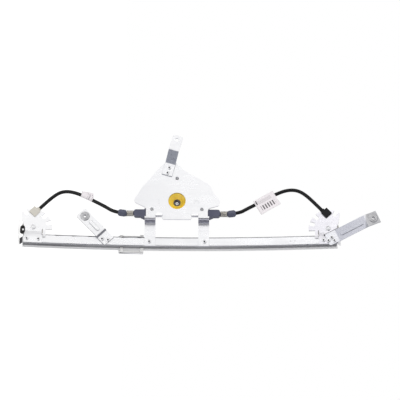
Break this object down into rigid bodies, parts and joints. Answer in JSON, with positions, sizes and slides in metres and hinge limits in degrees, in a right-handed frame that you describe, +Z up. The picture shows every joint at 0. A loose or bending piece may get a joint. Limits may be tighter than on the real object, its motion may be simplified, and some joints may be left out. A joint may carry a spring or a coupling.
{
  "type": "window regulator",
  "caption": "Cable-drum window regulator: curved guide rail with a glass carrier, conduits over end pulleys, motor plate and mounting brackets.",
  "frame": {"origin": "axis of the cable drum, in the inboard face of the motor plate", "axes": "+Z up along the guide rail, -Y inboard towards the door panel, +X from the drum to the rail"},
  "size_m": [0.1988, 0.0673, 0.612],
  "materials": {
    "zinc_steel": "bright zinc plating, satin",
    "bright_steel": "zinc plated, worn bright",
    "wire_rope": "stranded steel wire, greased",
    "yellow_zinc": "yellow-passivated zinc",
    "dark_steel": "dark sintered steel",
    "amber_plastic": "glossy amber acetal",
    "blue_grey_plastic": "fine moulded grain",
    "conduit_black": "smooth satin sheath",
    "black_plastic": "moulded",
    "cream_plastic": "natural unpigmented acetal",
    "natural_plastic": "natural unpigmented acetal",
    "white_plastic": "natural acetal",
    "black_rubber": "soft matt rubber",
    "paper": "matt coated paper",
    "tie_black": "nylon"
  },
  "bodies": {
    "regulator": {"guide_rail": "zinc_steel", "motor_plate": "zinc_steel", "drum_housing": "blue_grey_plastic", "lower_conduit": "conduit_black", "upper_conduit": "conduit_black", "lower_cable": "wire_rope", "upper_cable": "wire_rope", "lower_ferrule": "blue_grey_plastic", "upper_ferrule": "blue_grey_plastic", "lower_tension_spring": "yellow_zinc", "upper_tension_spring": "yellow_zinc", "lower_end_fitting": "cream_plastic", "upper_end_fitting": "black_plastic", "lower_pulley_axle": "bright_steel", "upper_pulley_axle": "bright_steel", "lower_pulley_plate": "zinc_steel", "upper_pulley_plate": "zinc_steel", "lower_bracket": "zinc_steel", "upper_bracket": "zinc_steel", "top_bracket": "zinc_steel", "clinch_nuts": "bright_steel", "motor_inserts": "bright_steel", "lower_bumper": "black_rubber", "conduit_label": "paper", "hang_tag": "paper", "tag_tie": "tie_black", "leg_rivets": "bright_steel", "lower_plate_rivets": "bright_steel", "lower_bracket_rivets": "bright_steel", "upper_plate_rivets": "bright_steel", "top_bracket_rivets": "bright_steel"},
    "carrier": {"carrier_slider": "white_plastic", "glass_bracket": "zinc_steel", "glass_liner": "black_rubber", "clamp_screw": "bright_steel", "clamp_nut": "bright_steel", "cable_nipples": "bright_steel", "carrier_rivets": "bright_steel"},
    "drum": {"cable_drum": "amber_plastic", "spline_insert": "dark_steel", "drum_cable": "wire_rope"},
    "lower_wheel": {"lower_pulley": "natural_plastic"},
    "upper_wheel": {"upper_pulley": "natural_plastic"}
  },
  "joints": [
    {"name": "carrier_travel", "type": "hinge", "parent": "regulator", "child": "carrier", "pos_m": [0, -1.9805, 0.007], "axis": [1, 0, 0], "range_deg": [-3.4, 8.1]},
    {"name": "drum_spin", "type": "hinge", "parent": "regulator", "child": "drum", "pos_m": [0, 0, 0], "axis": [0, 1, 0], "range_deg": [-335.3, 797.5]},
    {"name": "lower_pulley_spin", "type": "hinge", "parent": "regulator", "child": "lower_wheel", "pos_m": [0.0486, 0.0096, -0.24505], "axis": [0, -0.9921, 0.1256], "range_deg": [-414.4, 985.8]},
    {"name": "upper_pulley_spin", "type": "hinge", "parent": "regulator", "child": "upper_wheel", "pos_m": [0.0486, 0.00979, 0.25755], "axis": [0, -0.9922, -0.1249], "range_deg": [-414.4, 985.8]}
  ],
  "couplings": [
    {"joint": "drum_spin", "follows": "carrier_travel", "ratio": 98.333},
    {"joint": "lower_pulley_spin", "follows": "carrier_travel", "ratio": 121.58},
    {"joint": "upper_pulley_spin", "follows": "carrier_travel", "ratio": 121.58}
  ]
}
